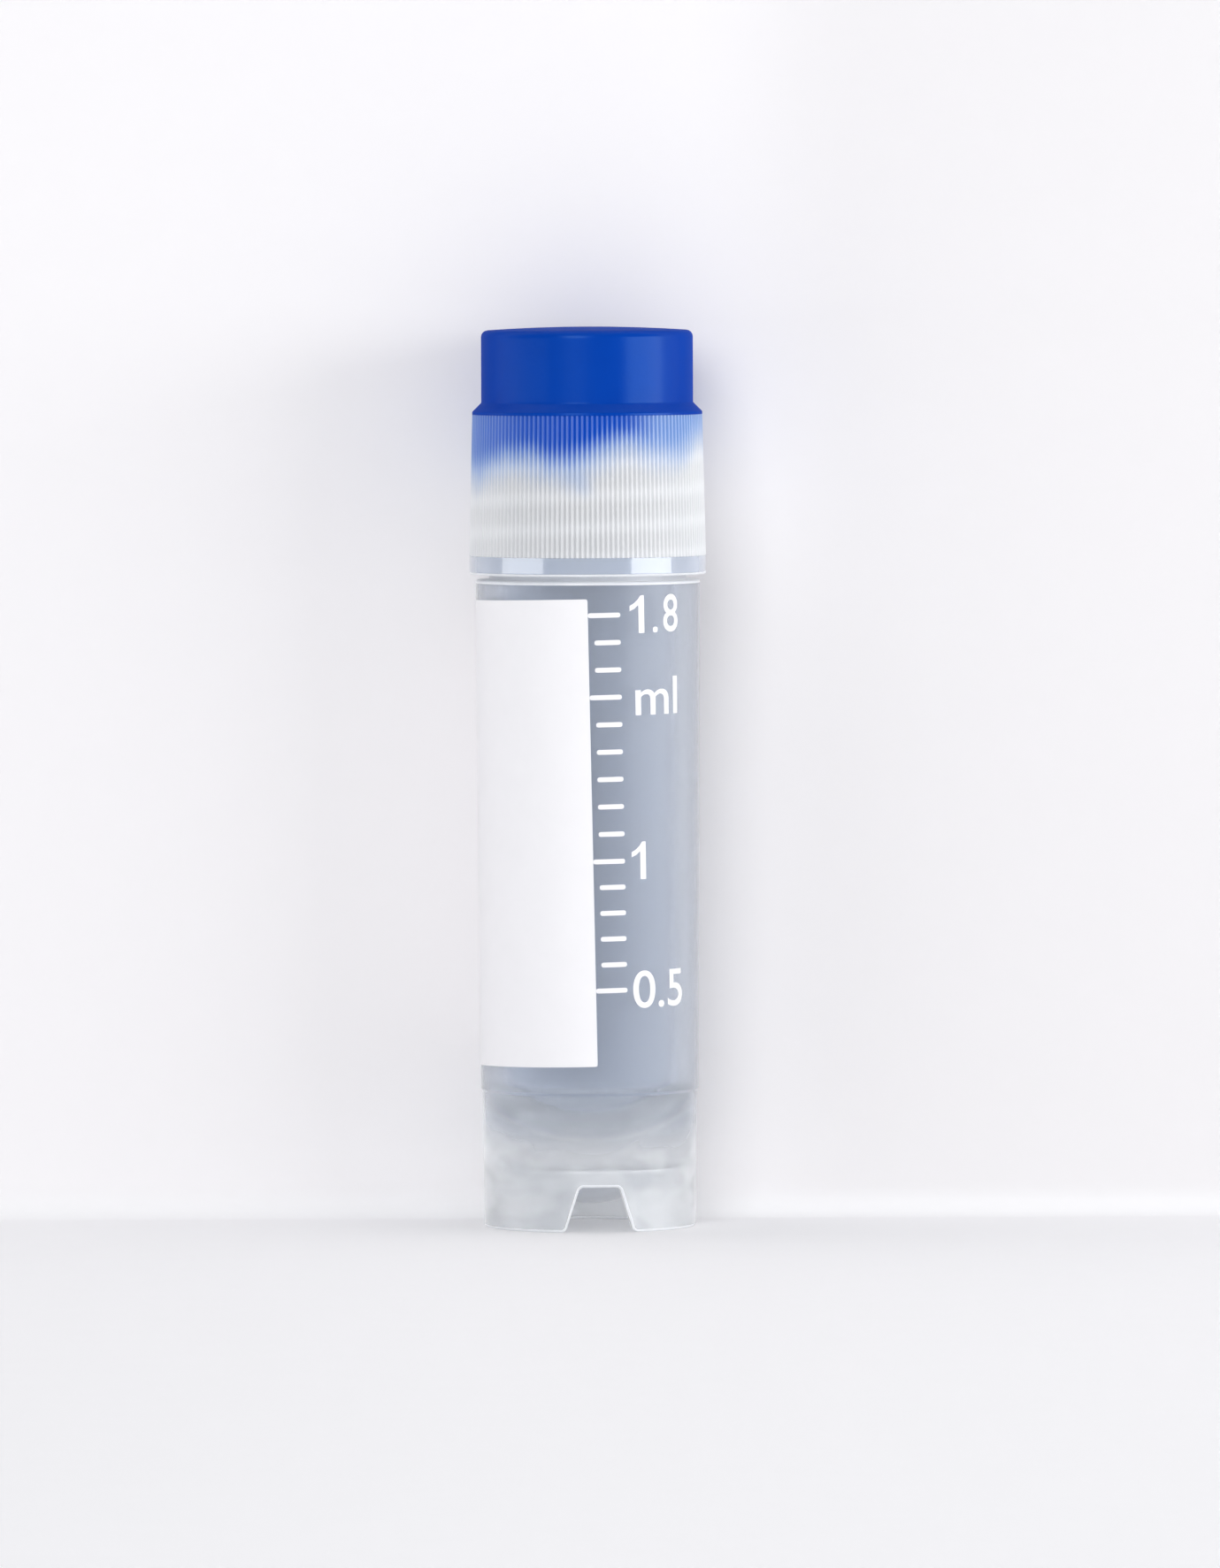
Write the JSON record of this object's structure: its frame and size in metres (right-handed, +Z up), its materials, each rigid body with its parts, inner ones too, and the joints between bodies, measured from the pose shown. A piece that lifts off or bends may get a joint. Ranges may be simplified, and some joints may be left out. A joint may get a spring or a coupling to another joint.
{
  "type": "cryovial",
  "caption": "Self-standing screw-cap cryovial: translucent tube with a notched foot, ribbed natural cap skirt and a blue cap top.",
  "frame": {"origin": "middle of the foot's rim, in the plane the vial stands on", "axes": "+Z up along the vial's axis, -Y towards the front"},
  "size_m": [0.0126, 0.0126, 0.048],
  "materials": {
    "tube_plastic": "natural translucent polypropylene, satin",
    "seal_silicone": "milky silicone, matte",
    "skirt_plastic": "natural translucent polypropylene, satin",
    "top_plastic": "blue polypropylene, satin"
  },
  "bodies": {
    "vial": {"vial_tube": "tube_plastic"},
    "seal": {"seal_ring": "seal_silicone"},
    "cap": {"cap_skirt": "skirt_plastic", "cap_top": "top_plastic"}
  },
  "joints": [
    {"name": "cap_rise", "type": "slide", "parent": "vial", "child": "seal", "axis": [0, 0, 1], "range_m": [0, 0.0068]},
    {"name": "cap_turn", "type": "hinge", "parent": "seal", "child": "cap", "pos_m": [0, 0, 0.0421], "axis": [0, 0, 1], "range_deg": [0, 1440]}
  ],
  "couplings": [
    {"joint": "cap_turn", "follows": "cap_rise", "rad_per_m": 3696}
  ]
}
